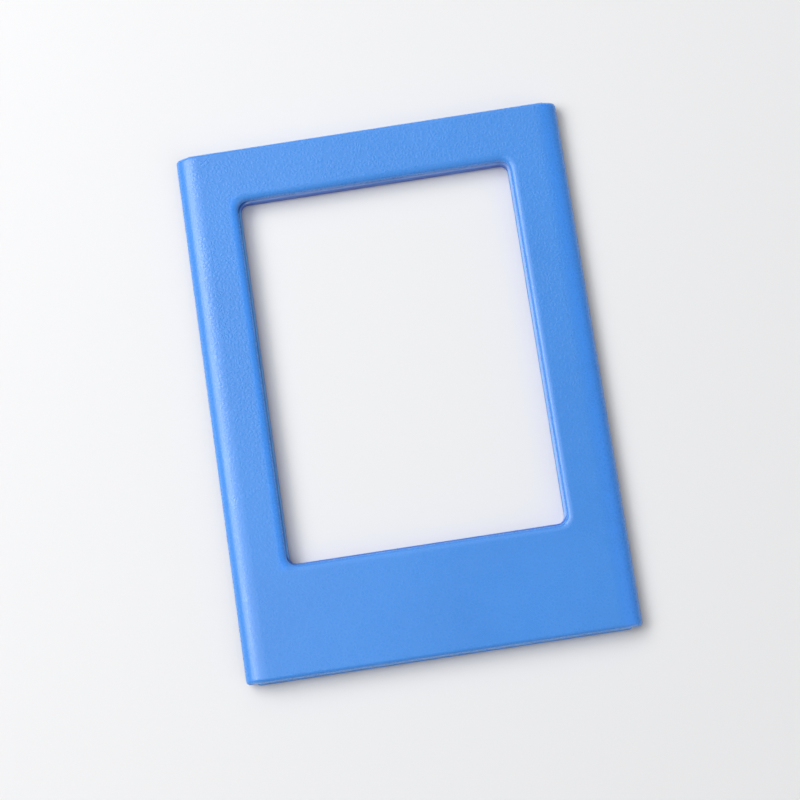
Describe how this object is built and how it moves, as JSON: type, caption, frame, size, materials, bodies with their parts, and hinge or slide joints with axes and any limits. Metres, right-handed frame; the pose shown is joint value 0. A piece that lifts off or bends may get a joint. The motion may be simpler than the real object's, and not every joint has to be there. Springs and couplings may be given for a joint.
{
  "type": "magnetic photo frame",
  "caption": "Flat rectangular picture frame for an instant print: a windowed front frame with rounded long sides, held by disc magnets on a windowed rear frame that clings to steel.",
  "frame": {"origin": "centre of the back face, on the surface that the frame lies on or clings to", "axes": "+X to the right of the face, +Y to the top of the face, +Z out of the face"},
  "size_m": [0.066, 0.091, 0.0034],
  "materials": {
    "front_plastic": "satin blue with a fine moulded leather-like grain",
    "rear_plastic": "satin blue with a fine spark-eroded grain",
    "magnet_plating": "bright nickel plate over sintered magnet"
  },
  "bodies": {
    "rear": {"rear_frame": "rear_plastic", "rear_magnet_top_left": "magnet_plating", "rear_magnet_top_right": "magnet_plating", "rear_magnet_bottom_left": "magnet_plating", "rear_magnet_bottom_right": "magnet_plating"},
    "front": {"front_frame": "front_plastic", "front_magnet_top_left": "magnet_plating", "front_magnet_top_right": "magnet_plating", "front_magnet_bottom_left": "magnet_plating", "front_magnet_bottom_right": "magnet_plating"}
  },
  "joints": [
    {"name": "front_lift", "type": "slide", "parent": "rear", "child": "front", "axis": [0, 0, 1], "range_m": [0, 0.025]}
  ]
}
